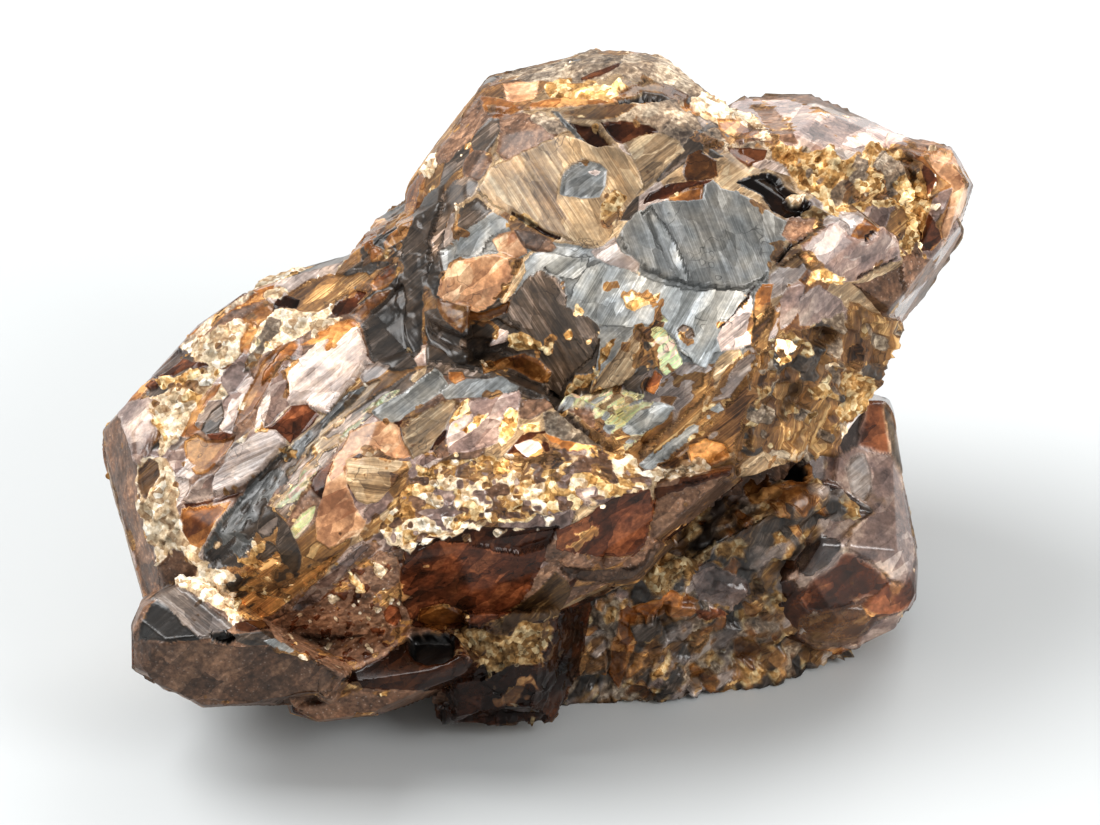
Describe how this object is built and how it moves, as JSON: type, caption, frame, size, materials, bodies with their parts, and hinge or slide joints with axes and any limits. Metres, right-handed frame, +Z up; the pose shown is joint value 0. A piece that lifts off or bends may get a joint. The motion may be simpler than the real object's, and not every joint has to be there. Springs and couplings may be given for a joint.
{
  "type": "rainbow garnet specimen",
  "caption": "Intergrown rainbow garnet crystals with faceted, terraced faces and crumbly crusts on a lump of skarn, shown as a display mineral specimen.",
  "frame": {"origin": "centre of the bounding box in plan, at the height of the surface the specimen rests on", "axes": "+X to the right along the longest extent, +Y away from the viewer, +Z up"},
  "size_m": [0.0262, 0.0208, 0.0178],
  "materials": {
    "garnet": "glassy to pewter-like, terraced and striated",
    "rear_garnet": "glassy, dark red-brown with lilac reflections",
    "skarn": "dull, granular, grey, ochre and orange-brown"
  },
  "bodies": {
    "root": {"garnet_cluster": "garnet", "rear_garnet": "rear_garnet", "skarn_matrix": "skarn"}
  },
  "joints": []
}
